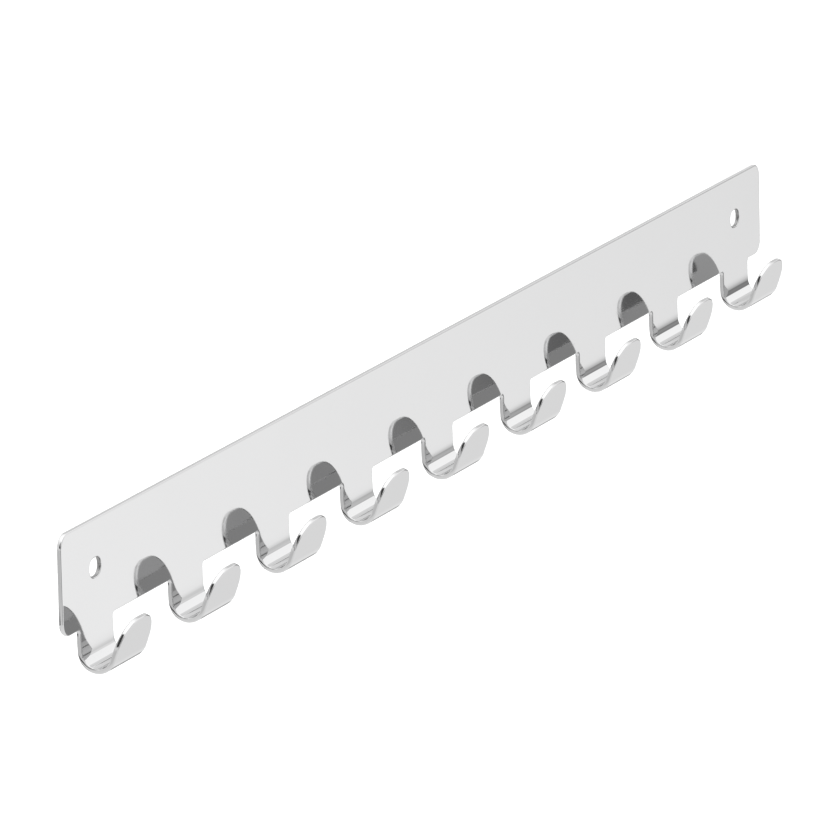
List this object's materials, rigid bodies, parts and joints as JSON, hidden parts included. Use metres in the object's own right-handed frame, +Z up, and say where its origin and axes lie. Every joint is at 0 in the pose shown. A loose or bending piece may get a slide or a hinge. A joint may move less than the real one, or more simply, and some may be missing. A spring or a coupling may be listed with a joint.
{
  "type": "wall hook rack",
  "caption": "Flat wall rail of polished sheet steel whose lower edge is bent into a row of J-shaped hooks, with a screw slot at each end.",
  "frame": {"origin": "midway between the two screw slots, on the back face that lies against the wall", "axes": "+X along the rail, +Y into the wall, +Z up; the hooks stand out towards -Y and hang below the plate"},
  "size_m": [0.436, 0.0131, 0.0355],
  "materials": {
    "polished_steel": "stainless steel sheet polished to a near mirror, with rounded polished edges"
  },
  "bodies": {
    "root": {"hook_rail": "polished_steel"}
  },
  "joints": []
}
